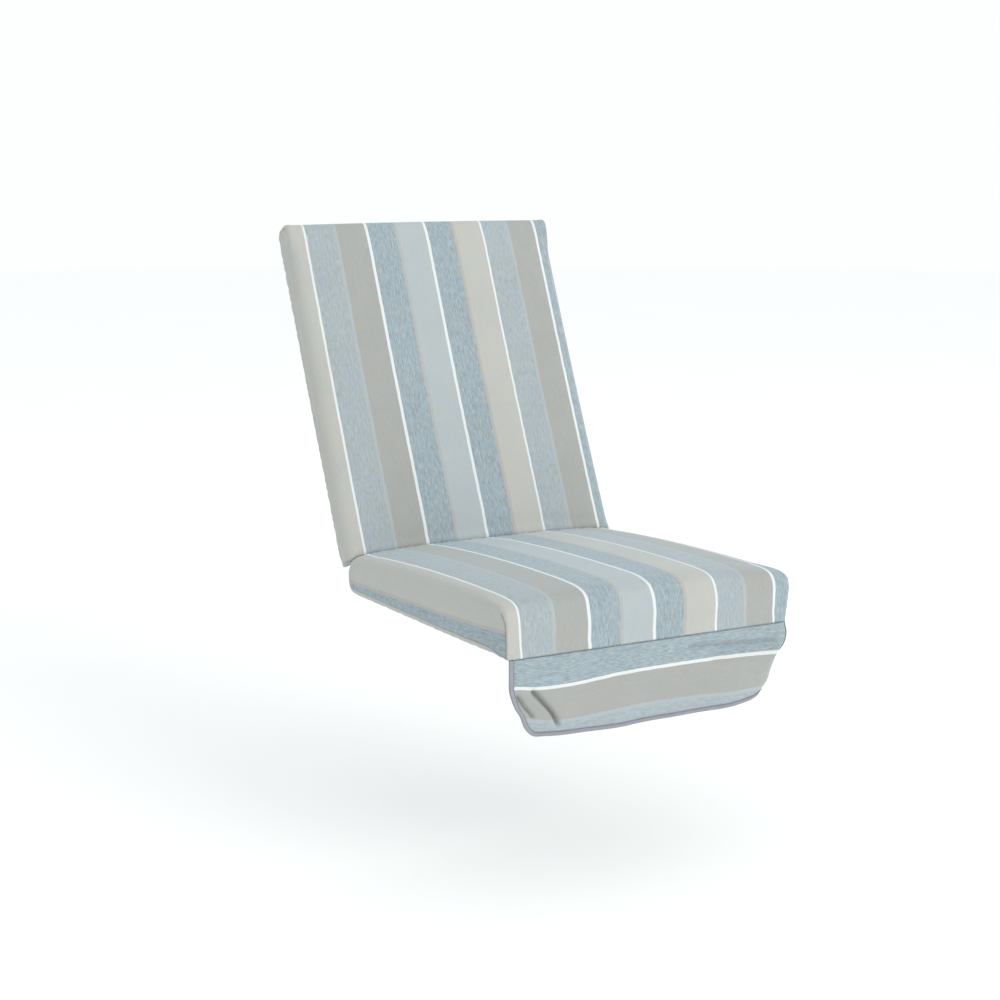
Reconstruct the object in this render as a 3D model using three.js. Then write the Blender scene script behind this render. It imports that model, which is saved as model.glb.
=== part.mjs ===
// A swing seat cushion: a filled seat pad and a filled back pad joined along a stitched fold,
// and a single-cloth valance hanging from the front, its free edges bound with folded tape.
// Millimetres, +Z up, the front towards -Y. The origin is the middle of the seat's underside.
import * as THREE from "three";
import { mergeVertices } from "three/addons/utils/BufferGeometryUtils.js";

const { clamp, degToRad: radians, lerp, smoothstep } = THREE.MathUtils;

// Both pads
const PAD_WIDTH = 568;
const SIDE_ROUNDING = 23;          // from the covered face round into each side
const SEWN_SIDE_ROUNDING = 8;      // the same beside the sewn corners
const STITCH_GAP = 0.4;            // between pieces that are sewn together

// Seat pad, with a level underside and a top that falls towards the fold
const SEAT_DEPTH = 524;            // front panel to the fold
const SEAT_FRONT_HEIGHT = 95;
const SEAT_REAR_HEIGHT = 80;
const SEAT_SWELL = 5;
const SEAT_FULLEST_Y = 43;
const SEAT_CROWN = { height: 10.5, power: 4 };
const SEAT_TILT = 3;               // the top's front right lies this far below its front middle
const SEAT_EDGE_DEPTH = 88;        // the front edge rounds over from here
const SEAT_EDGE_HEIGHT = 70;
const SEAT_BROW = { from: 20, to: 120 };  // behind the front, where the sides' rounding widens
const SEAT_FOOT_ROUNDING = 14;
const SEAT_HEEL_ROUNDING = 24;
const FRONT_CORNER_ROUNDING = 3;   // in plan, at the upright corner seams
const FRONT_CORNER_REACH = 45;     // how far back along the side the corners' draw-in fades
const FRONT_FOOT_ROUNDING = 3;     // the foot is sharp where the valance is sewn on
const FRONT_RISE = 62;             // what pulls at the foot has faded at this height
const LEFT_DRAW_IN = { inwards: 11, from: 246, atTop: 1 };
const RIGHT_DRAW_IN = { inwards: 11, from: 180, atTop: 0 };
const SEAM_SAG = 6.4;              // of the seam along the foot, at its right end

// Fold, where the two pads press together below the stitched crease
const FOLD_FACE_LENGTH = 14;
const FOLD_FACE_ANGLE = radians(20);
const FOLD_ROUNDING = 6;

// Back pad, measured in its own upright plane before it leans back
const BACK_HEIGHT = 630;
const BACK_THICKNESS = 62;
const BACK_LEAN = radians(23.4);
const BACK_TOP_ROUNDING = 16;      // front edge of the top
const BACK_REAR_ROUNDING = 22;
const BACK_FOOT_DROP = 18;         // how far the filled foot swells below the fold
const BACK_HEAD_SWELL = 6;         // the upper part stands forward of the fold
const BACK_HOLLOW = 4;             // the lower part gives way behind it
const BACK_CROWN = { height: 5, power: 2 };
const BACK_TILT = 4.4;             // the top's right end stands this far over its middle
const BACK_BROW = { from: 24, to: 76 };   // below the top, where the sides' rounding widens
const BACK_CORNER_ROUNDING = 7;    // upper corners, seen from the front

// Valance and its tape
const VALANCE_LEFT = 267;          // from the middle of the seam to the left end
const VALANCE_RIGHT = 284;         // and to the right end, which wraps round the corner
const VALANCE_DROP = 130.5;
const VALANCE_BOW = 3;             // the middle of the hem hangs this much lower
const VALANCE_THICKNESS = 1.6;
const VALANCE_CORNER = 36;
const VALANCE_SETBACK = 3;         // its middle, behind the front panel
const TAPE_COVER = 8;
const TAPE_THICKNESS = 0.8;
const TAPE_CLEARANCE = 0.9;

// How the valance hangs: waves across it, creases that slant down and along it, a hem that
// turns under a little, a right end that curls back round the corner and more widely at the
// hem, and a lower left corner that the creases gather inwards. Drops are from the seam.
const WAVES = [
  { height: 2.6, length: 236, phase: 0.4 },
  { height: 1.4, length: 118, phase: 2.1 },
];
const CREASES = [
  { fromAlong: -234, fromDrop: 50, toAlong: -192, toDrop: 112, depth: 7, spread: 13 },
  { fromAlong: 90, fromDrop: 19, toAlong: 250, toDrop: 30, depth: 3, spread: 12 },
];
const HEM_TURN = { backwards: 4, reach: 14 };
const CURL = {
  bend: radians(82),
  drops: [0, 20, 40, 60, 85, 110, 130],
  starts: [265, 272, 265, 244, 229, 218, 198],
};
const GATHER = { start: 143, drops: [44, 62, 80, 98, 115], inwards: [0, 4, 11, 21, 22] };
const GATHER_LIFT = { upwards: 4, fromDrop: 47, toDrop: 115 };
const HEM_LIFT = { start: 132, upwards: 8, fromDrop: 52, toDrop: 114 };

// Mesh steps
const SIDE_STEPS = 7;
const MIDDLE_STEPS = 10;
const CURVE_STEPS = 7;
const VALANCE_ROWS = 20;
const VALANCE_COLUMNS = 52;
const VALANCE_CORNER_STEPS = 10;
const TAPE_STEPS = 3;

const halfWidth = PAD_WIDTH / 2;
const frontY = -SEAT_DEPTH / 2;
const foldY = SEAT_DEPTH / 2;

function cloth(name, color) {
  const material = new THREE.MeshStandardMaterial({ color, roughness: 0.9, metalness: 0 });
  material.name = name;
  return material;
}

// How far a rounded edge has fallen away at a given distance inside it.
function roundingLoss(inside, radius) {
  const reach = clamp(1 - inside / radius, 0, 1);
  return radius * (1 - Math.sqrt(1 - reach * reach));
}

// How far a pad's covered face lies below its middle, at one place across the width.
function faceLoss(x, crown, sideRounding) {
  const inside = halfWidth - Math.abs(x);
  return roundingLoss(inside, sideRounding) + crown.height * Math.abs(x / halfWidth) ** crown.power;
}

// The value of a smooth curve through the levels at the given places.
function levelAt(value, places, levels) {
  const place = clamp(value, places[0], places.at(-1));
  const after = Math.max(places.findIndex((end) => end >= place), 1);
  const slopeAt = (step) =>
    step === 0 || step === places.length - 1
      ? 0
      : (levels[step + 1] - levels[step - 1]) / (places[step + 1] - places[step - 1]);
  const width = places[after] - places[after - 1];
  const share = (place - places[after - 1]) / width;
  const rise = share * share * (3 - 2 * share);
  const early = share * (1 - share) ** 2 * width * slopeAt(after - 1);
  const late = share ** 2 * (1 - share) * width * slopeAt(after);
  return lerp(levels[after - 1], levels[after], rise) + early - late;
}

// Places across the width, close together where the sides round off.
function widthStations() {
  const flat = halfWidth - SIDE_ROUNDING;
  const rounded = [];
  for (let step = 0; step <= SIDE_STEPS; step += 1) {
    rounded.push(flat + SIDE_ROUNDING * Math.sin(((step / SIDE_STEPS) * Math.PI) / 2));
  }
  const middle = [];
  for (let step = 1; step < MIDDLE_STEPS; step += 1) {
    middle.push(flat * ((2 * step) / MIDDLE_STEPS - 1));
  }
  return [...rounded.map((x) => -x).reverse(), ...middle, ...rounded];
}

// A closed body through rings of equal point count that run anticlockwise seen from +X. The
// cap's triangles, each three places in a ring, fill both end rings.
function loft(rings, cap) {
  const count = rings[0].length;
  const index = [];
  for (let ring = 0; ring < rings.length - 1; ring += 1) {
    for (let side = 0; side < count; side += 1) {
      const here = ring * count + side;
      const next = ring * count + ((side + 1) % count);
      index.push(here, next, here + count, next, next + count, here + count);
    }
  }
  const last = (rings.length - 1) * count;
  for (const [a, b, c] of cap) {
    index.push(a, c, b, last + a, last + b, last + c);
  }
  return closedGeometry(rings.flat().flatMap((point) => point.toArray()), index);
}

// The cap of a level end ring, by its outline seen from +X.
function levelCap(ring) {
  const outline = ring.map((point) => new THREE.Vector2(point.y, point.z));
  return THREE.ShapeUtils.triangulateShape(outline, []);
}

// The cap of a thin ring, whose second half runs back beside the first.
function zippedCap(count) {
  const triangles = [];
  for (let step = 0; step < count / 2 - 1; step += 1) {
    const across = count - 1 - step;
    triangles.push([step, step + 1, across], [step + 1, across - 1, across]);
  }
  return triangles;
}

function closedGeometry(positions, index) {
  const geometry = new THREE.BufferGeometry();
  geometry.setAttribute("position", new THREE.Float32BufferAttribute(positions, 3));
  geometry.setIndex(index);
  return mergeVertices(geometry, 1e-4);
}

// A straight run in even steps, so that long faces keep well-shaped triangles.
function straightTo(path, x, y, steps) {
  const start = path.currentPoint.clone();
  for (let step = 1; step <= steps; step += 1) {
    const point = start.clone().lerp(new THREE.Vector2(x, y), step / steps);
    path.lineTo(point.x, point.y);
  }
}

// Seat outline in the Y-Z plane: underside, heel, fold face, top, front edge, front panel.
function seatOutline(x, sideRounding) {
  const inside = halfWidth - Math.abs(x);
  const loss = faceLoss(x, SEAT_CROWN, sideRounding);
  const foot = roundingLoss(inside, SEAT_FOOT_ROUNDING);
  const front = frontY + roundingLoss(inside, FRONT_CORNER_ROUNDING);
  const slope = Math.tan(FOLD_FACE_ANGLE);
  const rear = foldY + FOLD_FACE_LENGTH * slope;
  const creaseY = Math.min(foldY + loss * slope, rear);
  const creaseZ = SEAT_REAR_HEIGHT - loss;
  const edgeZ = SEAT_FRONT_HEIGHT - loss - SEAT_TILT * (x / halfWidth);
  const path = new THREE.Path();
  path.moveTo(front, roundingLoss(inside, FRONT_FOOT_ROUNDING));
  path.lineTo(front + FRONT_CORNER_REACH, foot);
  straightTo(path, rear - SEAT_HEEL_ROUNDING, foot, CURVE_STEPS);
  path.quadraticCurveTo(rear, foot, rear, foot + SEAT_FOOT_ROUNDING);
  path.lineTo(rear, creaseZ - FOLD_FACE_LENGTH);
  path.lineTo(Math.min(creaseY + FOLD_ROUNDING * slope, rear), creaseZ - FOLD_ROUNDING);
  path.quadraticCurveTo(creaseY, creaseZ, creaseY - FOLD_ROUNDING, creaseZ);
  const fullest = (creaseZ + edgeZ) / 2 + 2 * SEAT_SWELL;
  path.quadraticCurveTo(SEAT_FULLEST_Y, fullest, front + SEAT_EDGE_DEPTH, edgeZ);
  path.bezierCurveTo(front, edgeZ, front, edgeZ, front, edgeZ - SEAT_EDGE_HEIGHT);
  path.lineTo(front, roundingLoss(inside, FRONT_FOOT_ROUNDING));
  return path.getPoints(CURVE_STEPS).slice(1);
}

// The seat's outline where its sides' rounding tightens towards the front.
function seatSection(x) {
  const broad = seatOutline(x, SIDE_ROUNDING);
  const sewn = seatOutline(x, SEWN_SIDE_ROUNDING);
  return broad.map((point, step) => {
    const behindFront = point.x - frontY;
    const share = 1 - smoothstep(behindFront, SEAT_BROW.from, SEAT_BROW.to);
    return point.clone().lerp(sewn[step], share);
  });
}

// How far the seam along the front panel's foot has sagged at one place across.
function seamSag(x) {
  return (SEAM_SAG * (x + halfWidth)) / PAD_WIDTH;
}

// The front corners are drawn in, and the front panel's foot sags with the seam.
function drawnFront(point) {
  const side = Math.sign(point.x);
  const drawIn = side > 0 ? RIGHT_DRAW_IN : LEFT_DRAW_IN;
  const behindFront = point.y - frontY;
  const nearFoot = Math.max(1 - point.z / FRONT_RISE, 0);
  const nearEnd = smoothstep(Math.abs(point.x), drawIn.from, halfWidth);
  const nearSeam = Math.max(1 - behindFront / FRONT_CORNER_REACH, 0) ** 2 * nearFoot;
  const sag = seamSag(point.x) * nearSeam;
  const reach = Math.exp(-behindFront / FRONT_CORNER_REACH);
  point.x -= side * drawIn.inwards * reach * Math.max(nearFoot, drawIn.atTop) * nearEnd;
  point.z -= sag;
  return point;
}

function seatPad() {
  const ring = (x) => seatSection(x).map((p) => drawnFront(new THREE.Vector3(x, p.x, p.y)));
  const rings = widthStations().map(ring);
  return loft(rings, levelCap(rings[0]));
}

// Back outline in its own plane, as depth behind the fold and height above it:
// fold face, foot, rear, top and face.
function backOutline(x, sideRounding) {
  const inside = halfWidth - Math.abs(x);
  const face = faceLoss(x, BACK_CROWN, sideRounding);
  const rear = BACK_THICKNESS - roundingLoss(inside, BACK_REAR_ROUNDING);
  const cornerLoss = roundingLoss(inside, BACK_CORNER_ROUNDING);
  const top = BACK_HEIGHT + BACK_TILT * (x / halfWidth) - cornerLoss;
  const angle = FOLD_FACE_ANGLE + BACK_LEAN;
  const deepest = FOLD_FACE_LENGTH * Math.sin(angle);
  const crease = -Math.min(face, deepest) / Math.tan(angle);
  const along = (distance) => [
    face + distance * Math.sin(angle),
    crease - distance * Math.cos(angle),
  ];
  const head = face - BACK_HEAD_SWELL;
  const path = new THREE.Path();
  path.moveTo(face, crease + FOLD_ROUNDING);
  path.quadraticCurveTo(face, crease, ...along(FOLD_ROUNDING));
  path.bezierCurveTo(
    ...along(FOLD_FACE_LENGTH),
    rear, -2 * BACK_FOOT_DROP,
    rear, BACK_FOOT_DROP / 2
  );
  straightTo(path, rear, top - BACK_REAR_ROUNDING, 2 * CURVE_STEPS);
  const ridge = Math.max(rear - BACK_REAR_ROUNDING, head + BACK_TOP_ROUNDING + 1);
  path.quadraticCurveTo(rear, top, ridge, top);
  path.lineTo(head + BACK_TOP_ROUNDING, top);
  path.quadraticCurveTo(head, top, head, top - BACK_TOP_ROUNDING);
  path.bezierCurveTo(
    head, 0.83 * top,
    face + BACK_HOLLOW, 0.53 * top,
    face, crease + FOLD_ROUNDING
  );
  return path.getPoints(CURVE_STEPS + 3).slice(1);
}

// The back's outline where its sides' rounding tightens towards the top.
function backSection(x) {
  const broad = backOutline(x, SIDE_ROUNDING);
  const sewn = backOutline(x, SEWN_SIDE_ROUNDING);
  return broad.map((point, step) => {
    const belowTop = BACK_HEIGHT - point.y;
    const share = 1 - smoothstep(belowTop, BACK_BROW.from, BACK_BROW.to);
    return point.clone().lerp(sewn[step], share);
  });
}

function backPad() {
  const ring = (x) => backSection(x).map((p) => new THREE.Vector3(x, p.x, p.y));
  const rings = widthStations().map(ring);
  return loft(rings, levelCap(rings[0]));
}

// The right end's curl, from the place along the seam and the drop below it.
function curled(along, drop) {
  const start = levelAt(drop, CURL.drops, CURL.starts);
  const past = along - start;
  if (past <= 0) return { along, out: 0 };
  const radius = (VALANCE_RIGHT - start) / CURL.bend;
  return {
    along: start + radius * Math.sin(past / radius),
    out: radius * (1 - Math.cos(past / radius)),
  };
}

// How much lower than its ends the hem hangs at one place along it.
function hemBow(along) {
  return VALANCE_BOW * Math.max(1 - (along / VALANCE_LEFT) ** 2, 0);
}

// How deep one crease is at a place on the cloth, fading at its ends and to both sides.
function creaseDepth(along, drop, crease) {
  const start = new THREE.Vector3(crease.fromAlong, crease.fromDrop, 0);
  const end = new THREE.Vector3(crease.toAlong, crease.toDrop, 0);
  const place = new THREE.Vector3(along, drop, 0);
  const nearest = new THREE.Line3(start, end).closestPointToPoint(place, true, new THREE.Vector3());
  return crease.depth * Math.exp(-((place.distanceTo(nearest) / crease.spread) ** 2));
}

// The hanging surface, from the distance along the seam and the drop below it.
function valancePoint(along, drop) {
  const share = Math.max(drop, 0) / VALANCE_DROP;
  const place = curled(along, drop);
  for (const wave of WAVES) {
    const angle = (2 * Math.PI * along) / wave.length + wave.phase;
    place.out += wave.height * share * Math.sin(angle);
  }
  for (const crease of CREASES) {
    place.out += creaseDepth(along, drop, crease) * Math.min(3 * share, 1);
  }
  const overHem = VALANCE_DROP + hemBow(along) - drop;
  place.out += HEM_TURN.backwards * Math.max(1 - overHem / HEM_TURN.reach, 0) ** 2;
  const nearLeft = smoothstep(-along, GATHER.start, VALANCE_LEFT);
  const nearRight = smoothstep(along, HEM_LIFT.start, VALANCE_LEFT);
  const leftLift = smoothstep(drop, GATHER_LIFT.fromDrop, GATHER_LIFT.toDrop);
  const rightLift = smoothstep(drop, HEM_LIFT.fromDrop, HEM_LIFT.toDrop);
  const lift = GATHER_LIFT.upwards * nearLeft * leftLift + HEM_LIFT.upwards * nearRight * rightLift;
  return new THREE.Vector3(
    place.along + nearLeft * levelAt(drop, GATHER.drops, GATHER.inwards),
    frontY + VALANCE_SETBACK + place.out,
    lift - STITCH_GAP - seamSag(place.along) - drop
  );
}

// The surface's unit normal, pointing forwards.
function valanceNormal(along, drop) {
  const step = 0.5;
  const across = valancePoint(along + step, drop).sub(valancePoint(along - step, drop));
  const down = valancePoint(along, drop + step).sub(valancePoint(along, drop));
  return down.cross(across).normalize();
}

function offValance(along, drop, distance) {
  return valancePoint(along, drop).addScaledVector(valanceNormal(along, drop), distance);
}

// The drop of the hem line, which rounds up into both sides.
function hemDrop(along) {
  const inside = Math.min(along + VALANCE_LEFT, VALANCE_RIGHT - along);
  return VALANCE_DROP + hemBow(along) - roundingLoss(inside, VALANCE_CORNER);
}

// Places along the seam, close together over the rounded lower corners.
function valanceStations() {
  const rounded = [];
  for (let step = 0; step <= VALANCE_CORNER_STEPS; step += 1) {
    const angle = ((step / VALANCE_CORNER_STEPS) * Math.PI) / 2;
    rounded.push(VALANCE_CORNER * Math.sin(angle));
  }
  const left = rounded.map((x) => VALANCE_CORNER - VALANCE_LEFT - x).reverse();
  const right = rounded.map((x) => VALANCE_RIGHT - VALANCE_CORNER + x);
  const middle = [];
  for (let step = 1; step < VALANCE_COLUMNS; step += 1) {
    middle.push(lerp(left.at(-1), right[0], step / VALANCE_COLUMNS));
  }
  return [...left, ...middle, ...right];
}

// The sheet as rings round each column: up its front and down its rear.
function valance() {
  const ring = (along) => {
    const front = [];
    const rear = [];
    for (let row = 0; row <= VALANCE_ROWS; row += 1) {
      const drop = (hemDrop(along) * row) / VALANCE_ROWS;
      front.push(offValance(along, drop, VALANCE_THICKNESS / 2));
      rear.push(offValance(along, drop, -VALANCE_THICKNESS / 2));
    }
    return [...front, ...rear.reverse()];
  };
  return loft(valanceStations().map(ring), zippedCap(2 * VALANCE_ROWS + 2));
}

// The bound edge: down the left side, along the hem and up the right side.
function boundEdge() {
  const leftFlat = VALANCE_CORNER - VALANCE_LEFT;
  const rightFlat = VALANCE_RIGHT - VALANCE_CORNER;
  const cornerDrop = VALANCE_DROP - VALANCE_CORNER;
  const edge = new THREE.Path();
  edge.moveTo(-VALANCE_LEFT, 0);
  straightTo(edge, -VALANCE_LEFT, cornerDrop, VALANCE_ROWS);
  edge.absarc(leftFlat, cornerDrop, VALANCE_CORNER, Math.PI, Math.PI / 2, true);
  straightTo(edge, rightFlat, VALANCE_DROP, VALANCE_COLUMNS);
  edge.absarc(rightFlat, cornerDrop, VALANCE_CORNER, Math.PI / 2, 0, true);
  straightTo(edge, VALANCE_RIGHT, 0, VALANCE_ROWS);
  const points = edge.getPoints(VALANCE_CORNER_STEPS);
  return points.map((point) => point.setY(point.y + hemBow(point.x)));
}

// The tape's folded section, as distance past the cloth's edge and distance off its middle:
// round its outside from one edge to the other, and back along its inside.
function tapeSection() {
  const inner = VALANCE_THICKNESS / 2 + TAPE_CLEARANCE;
  const outer = inner + TAPE_THICKNESS;
  const side = (fold, off) => {
    const points = [];
    for (let step = 0; step <= TAPE_STEPS; step += 1) {
      points.push([lerp(-TAPE_COVER, fold, step / TAPE_STEPS), off]);
    }
    return points;
  };
  const outerFold = TAPE_CLEARANCE + TAPE_THICKNESS;
  return [
    ...side(outerFold, outer),
    ...side(outerFold, -outer).reverse(),
    ...side(TAPE_CLEARANCE, -inner),
    ...side(TAPE_CLEARANCE, inner).reverse(),
  ];
}

function valanceBinding() {
  const edge = boundEdge();
  const section = tapeSection();
  const rings = edge.map((point, step) => {
    const before = edge[Math.max(step - 1, 0)];
    const after = edge[Math.min(step + 1, edge.length - 1)];
    const run = after.clone().sub(before).normalize();
    return section.map(([past, off]) =>
      offValance(point.x - run.y * past, point.y + run.x * past, off)
    );
  });
  return loft(rings, zippedCap(section.length));
}

const stripedCloth = cloth("striped_cloth", 0xaab6bb);
const tapeCloth = cloth("binding_tape", 0xa3a3af);

function piece(name, geometry, material) {
  const mesh = new THREE.Mesh(geometry, material);
  mesh.name = name;
  return mesh;
}

const back = piece("back_pad", backPad(), stripedCloth);
back.rotation.x = -BACK_LEAN;
back.position.set(
  0,
  foldY + STITCH_GAP * Math.cos(FOLD_FACE_ANGLE),
  SEAT_REAR_HEIGHT + STITCH_GAP * Math.sin(FOLD_FACE_ANGLE)
);

const cushion = new THREE.Group();
cushion.add(
  piece("seat_pad", seatPad(), stripedCloth),
  back,
  piece("valance", valance(), stripedCloth),
  piece("valance_binding", valanceBinding(), tapeCloth)
);

export default cushion;
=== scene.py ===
# The looks of the swing seat cushion: striped cloth over the filled seat and back, the bound
# valance below the front panel, a pale floor and soft studio light. Shapes are worked out in
# millimetres, in the frame's directions, and turned into metres where a mesh is made.
import math

import bmesh
import bpy
import numpy as np
from mathutils import Matrix, Vector
from mathutils.kdtree import KDTree


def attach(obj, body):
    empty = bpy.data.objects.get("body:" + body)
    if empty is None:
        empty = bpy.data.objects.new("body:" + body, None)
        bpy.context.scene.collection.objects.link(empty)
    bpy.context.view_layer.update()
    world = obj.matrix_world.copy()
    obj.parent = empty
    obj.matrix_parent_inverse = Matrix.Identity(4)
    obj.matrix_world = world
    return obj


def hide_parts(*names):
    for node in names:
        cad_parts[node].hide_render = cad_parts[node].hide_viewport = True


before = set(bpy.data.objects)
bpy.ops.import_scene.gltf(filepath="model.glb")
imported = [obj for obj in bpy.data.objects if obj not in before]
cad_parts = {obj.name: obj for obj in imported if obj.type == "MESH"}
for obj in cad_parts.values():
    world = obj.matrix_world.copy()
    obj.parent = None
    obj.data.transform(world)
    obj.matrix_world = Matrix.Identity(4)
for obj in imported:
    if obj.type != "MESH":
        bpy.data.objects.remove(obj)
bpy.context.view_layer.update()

MM = 0.001
BODY = "root"

# Both pads
HALF_WIDTH = 284.0
SIDE_ROUNDING = 23.0
SEWN_SIDE_ROUNDING = 8.0      # beside the sewn corners
SIDE_BULGE = 2.5
SIDE_BULGE_POWER = 6          # the higher, the flatter the bulge is along a side
EDGE_TAKE_UP = 0.75           # of the stripes' run over a rounded side
STITCH_GAP = 0.4
MIDDLE_SHIFT = 2.0            # the stripes' middle sits this far to the right
SHIFT_REACH = 250.0

# Seat pad. A crown is a height and a power; a brow is where the sides' rounding widens.
FRONT_Y = -262.0
FOLD_Y = 262.0
SEAT_FRONT_HEIGHT = 95.0
SEAT_REAR_HEIGHT = 80.0
SEAT_SWELL = 5.0
SEAT_FULLEST_Y = 43.0
SEAT_CROWN = (10.5, 4)
SEAT_TILT = 3.0               # the top's front right lies this far below its front middle
SEAT_EDGE_DEPTH = 88.0
SEAT_EDGE_HEIGHT = 70.0
SEAT_BROW = (20, 120)         # behind the front
SEAT_FOOT_ROUNDING = 14.0
SEAT_HEEL_ROUNDING = 24.0
FRONT_CORNER_ROUNDING = 3.0
FRONT_CORNER_REACH = 45.0
FRONT_FOOT_ROUNDING = 3.0
FRONT_RISE = 62.0
DRAW_IN = {
    # each front corner: how far, from how far across, and its share at the top edge
    -1: (11.0, 246.0, 1.0),
    1: (11.0, 235.0, 0.0),
}
FOOT_LEAN = (1.5, -0.008)     # to the right in the middle, and its change per millimetre across
SEAM_SAG = 6.4                # of the front panel's foot, at its right end

# Fold, where the pads press together below the stitched crease
FOLD_FACE_LENGTH = 14.0
FOLD_FACE_ANGLE = math.radians(20)
FOLD_ROUNDING = 6.0

# Back pad, measured in its own upright plane before it leans back
BACK_HEIGHT = 630.0
BACK_THICKNESS = 62.0
BACK_LEAN = math.radians(23.4)
BACK_TOP_ROUNDING = 16.0
BACK_REAR_ROUNDING = 22.0
BACK_FOOT_DROP = 18.0
BACK_HEAD_SWELL = 6.0
BACK_HOLLOW = 4.0
BACK_SHARES = (0.83, 0.53)    # of the height, where the face swells and where it is hollow
BACK_CROWN = (5.0, 2)
BACK_TILT = 4.4               # the top's right end stands this far over its middle
BACK_BROW = (24, 76)          # below the top
BACK_CORNER_ROUNDING = 7.0

# Seams of the pads
SEAM_SHARPNESS = 0.55
SEAM_SAMPLES = 4              # to a mesh step
GROOVE_DEPTH = 0.7
GROOVE_WIDTH = 3.0
PUCKER_HEIGHT = 0.8
PUCKER_REACH = 15.0
PUCKER_LENGTHS = (19.0, 61.0)
PUCKER_WANDER = 2.0           # how unevenly the puckers follow one another
SEAM_STITCH_AND_SHADE = (1.3, 0.45)       # width and darkness of a darker line along the seams: their stitching, and painted shade in the seam's recess

# Air pressure that swells the pads between their seams
AIR_PRESSURE = 0.3
AIR_FRAMES = 16
AIR_INSET = 3.0               # the cloth starts this far inside its place
AIR_REACH = 4.0               # and comes to lie at most this far from it
AIR_SEAM_FADE = 26.0

# Valance and its tape
VALANCE_LEFT = 267.0
VALANCE_RIGHT = 284.0
VALANCE_DROP = 130.5
VALANCE_BOW = 3.0
VALANCE_THICKNESS = 1.6
VALANCE_CORNER = 36.0
VALANCE_SETBACK = 3.0
TAPE_COVER = 7.0
TAPE_THICKNESS = 0.8
TAPE_CLEARANCE = 0.5
TAPE_FOLD = (1.6, 0.8)        # the outer and the inner bend's reach, in clearances
TAPE_EDGE_LINE = (1.4, 0.4)   # width and darkness of its stitched edge

# How the valance hangs
WAVES = [
    # height, length, phase
    (2.6, 236.0, 0.4),
    (1.4, 118.0, 2.1),
]
CREASES = [
    # from along and drop, to along and drop, depth, spread, and how much darker painted shade makes
    # it
    ((-224, 58), (-185, 112), 10.0, 5.2, 0.18),
    ((-255, 62), (-245, 97), 6.0, 4.5, 0.3),
    ((76, 20), (250, 29), 6.0, 5.0, 0.2),
    ((130, 39), (262, 43), 4.0, 13.0, 0.1),
]
CREASE_ONSET = 3.0            # creases deepen over the drop's first third, one over this
HEM_TURN = (4.0, 14.0)        # how far backwards, over the lowest part
CURL_BEND = math.radians(82)
CURL = [
    # drop, and how far along the right end starts to curl back
    (0, 265), (20, 272), (40, 265), (60, 244), (85, 229), (110, 218), (130, 198),
]
GATHER_START = 143
GATHER = [
    # drop, and how far the left end is gathered inwards
    (44, 0), (62, 4), (80, 11), (98, 21), (115, 22),
]
GATHER_LIFT = (4.0, 47, 115)  # upwards, over these drops
HEM_LIFT_START = 132
HEM_LIFT = (8.0, 52, 114)     # the same, at the right end

# Stripes, from one white line to the next and on, as width across in millimetres and colour.
# The first and last entries are the two halves of one white line.
STRIPES = [
    (2.6, "white"),
    (55.4, "pale_blue"),
    (6.0, "lavender"),
    (58.4, "taupe"),
    (5.2, "white"),
    (56.4, "blue"),
    (5.0, "cream"),
    (58.4, "pale_grey"),
    (5.2, "white"),
    (56.4, "blue"),
    (5.0, "rose"),
    (58.4, "beige"),
    (2.6, "white"),
]
STRIPE_REPEAT = 375.0
FIRST_WHITE = -251.5
WHITE_SPACING = 125.0
YARN_COLOURS = {
    # the colour by daylight, and how strongly its yarns are mottled
    "white": ((0.63, 0.67, 0.67), 0.05),
    "pale_blue": ((0.320, 0.366, 0.388), 0.6),
    "lavender": ((0.355, 0.392, 0.405), 0.15),
    "taupe": ((0.322, 0.332, 0.320), 0.16),
    "blue": ((0.277, 0.340, 0.370), 1.0),
    "cream": ((0.365, 0.383, 0.372), 0.12),
    "pale_grey": ((0.375, 0.415, 0.430), 0.12),
    "rose": ((0.385, 0.370, 0.355), 0.12),
    "beige": ((0.417, 0.424, 0.399), 0.12),
}
VALANCE_STRIPE_SCALE = [
    # along, and the stripes' width over their drop, as the hanging cloth foreshortens
    (-267, 1.12), (96, 1.07), (267, 0.97),
]
VALANCE_WHITE = [
    # along, and the drop of the white line that runs along the valance
    (-267, 45), (-216, 51.5), (-146, 52.5), (-64, 47), (96, 46.5), (188, 49), (267, 53),
]

# Tones of the cloth. A noise has its scales across and along the cloth, per metre, and then
# its detail, its roughness and its shift.
SWAY_NOISE = (12, 45, 2, 0.5, 0.0)
SWAY_REACH = 1.4              # how far the stripes' edges may wander from side to side
YARN_NOISES = [
    # streaks, flecks and long slubs, each with its weight
    ((620, 95, 3, 0.6, 0.0), 0.75),
    ((300, 60, 3, 0.65, 7.3), 0.65),
    ((700, 12, 2, 0.5, 2.9), 0.4),
]
DRIFT_NOISE = (9, 9, 3, 0.5, 3.1)
DRIFT_STRENGTH = 0.08
TINT_NOISE = (30, 22, 6, 0.7, 5.7)
TINT_CONTRAST = 2.2
WARM_TINT = (1.035, 1.0, 0.965)
COOL_TINT = (0.965, 1.0, 1.035)
TAPE_NOISE = (500, 60, 3, 0.5, 0.0)
TAPE_CONTRAST = (0.8, 0.4)    # its strength, and the pale yarn's share
TAPE_DARK_YARN = (0.235, 0.245, 0.29)
TAPE_PALE_YARN = (0.325, 0.335, 0.375)
CLOTH_PITCH = 1.2             # from one thread to the next but one
TAPE_PITCH = 0.9
WEAVE_HEIGHT = 0.12
WEAVE_STRENGTH = 0.6
THREAD_WEIGHT = 0.5           # of the even threads, beside their unevenness
CLOTH_SURFACE = {
    "Roughness": 0.9,
    "Specular IOR Level": 0.2,
    "Sheen Weight": 0.35,
    "Sheen Roughness": 0.5,
    "Sheen Tint": (0.82, 0.93, 1.0, 1.0),
}
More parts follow.
